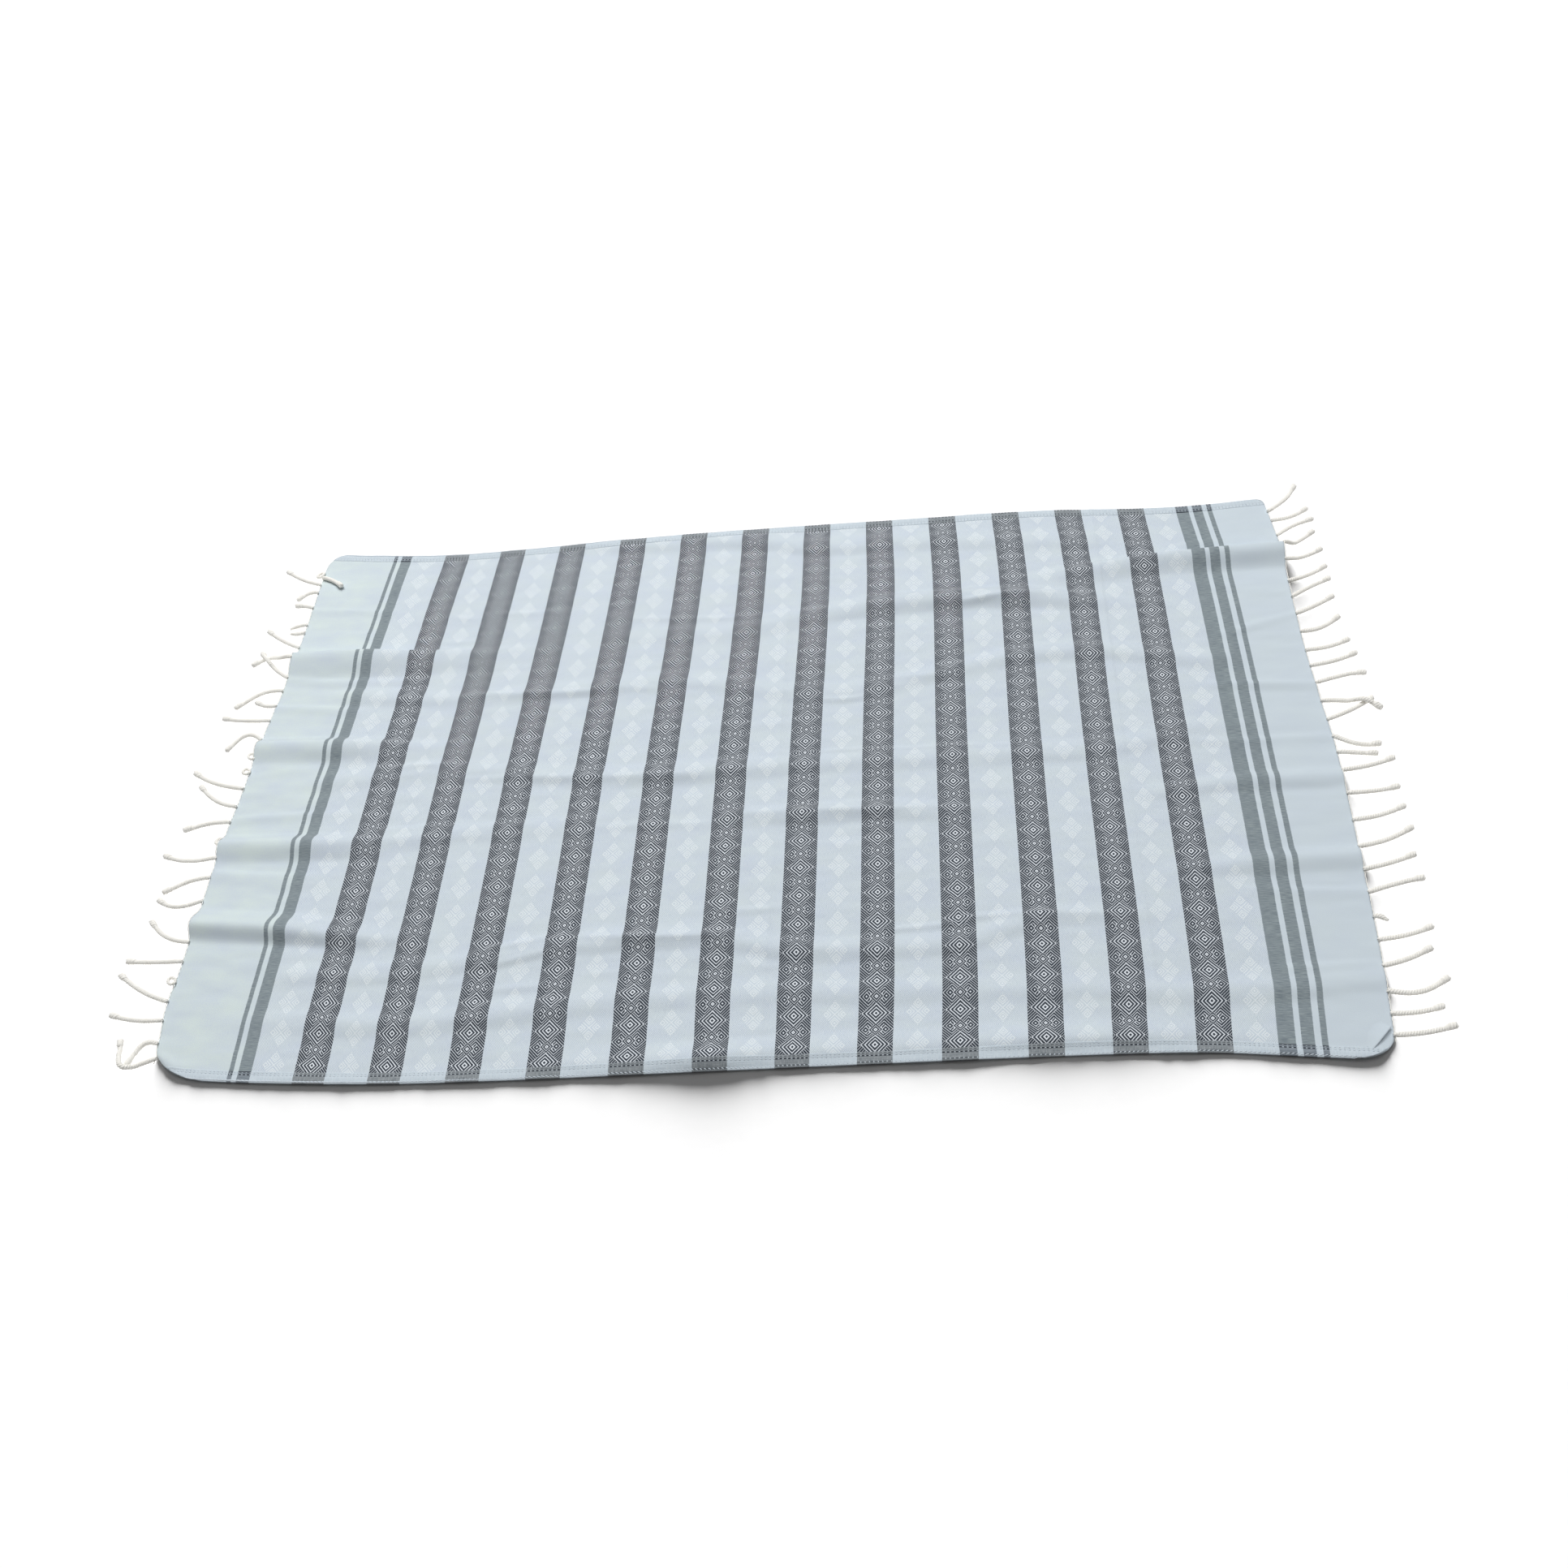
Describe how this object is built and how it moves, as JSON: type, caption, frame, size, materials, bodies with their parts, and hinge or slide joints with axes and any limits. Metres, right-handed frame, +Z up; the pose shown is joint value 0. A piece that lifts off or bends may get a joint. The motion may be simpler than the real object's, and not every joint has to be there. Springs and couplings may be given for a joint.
{
  "type": "fouta towel",
  "caption": "Flat woven fouta towel laid out with soft folds, dark diamond-weave bands across it, turned hems along the long sides and a fringe of twisted cords at both ends.",
  "frame": {"origin": "on the surface that the towel lies on, under the middle of the outline's box", "axes": "+X along the length towards the end with three grey stripes, +Y across the width towards the far hem, +Z up out of the patterned face"},
  "size_m": [1.7236, 1.066, 0.0204],
  "materials": {
    "cloth": "matt cotton weave, dark grey diamond bands on pale blue white",
    "hem": "matt cotton weave, turned over and stitched",
    "fringe": "matt twisted cotton yarn, cream"
  },
  "bodies": {
    "root": {"cloth": "cloth", "hem_near": "hem", "hem_far": "hem", "fringe_left": "fringe", "fringe_right": "fringe"}
  },
  "joints": []
}
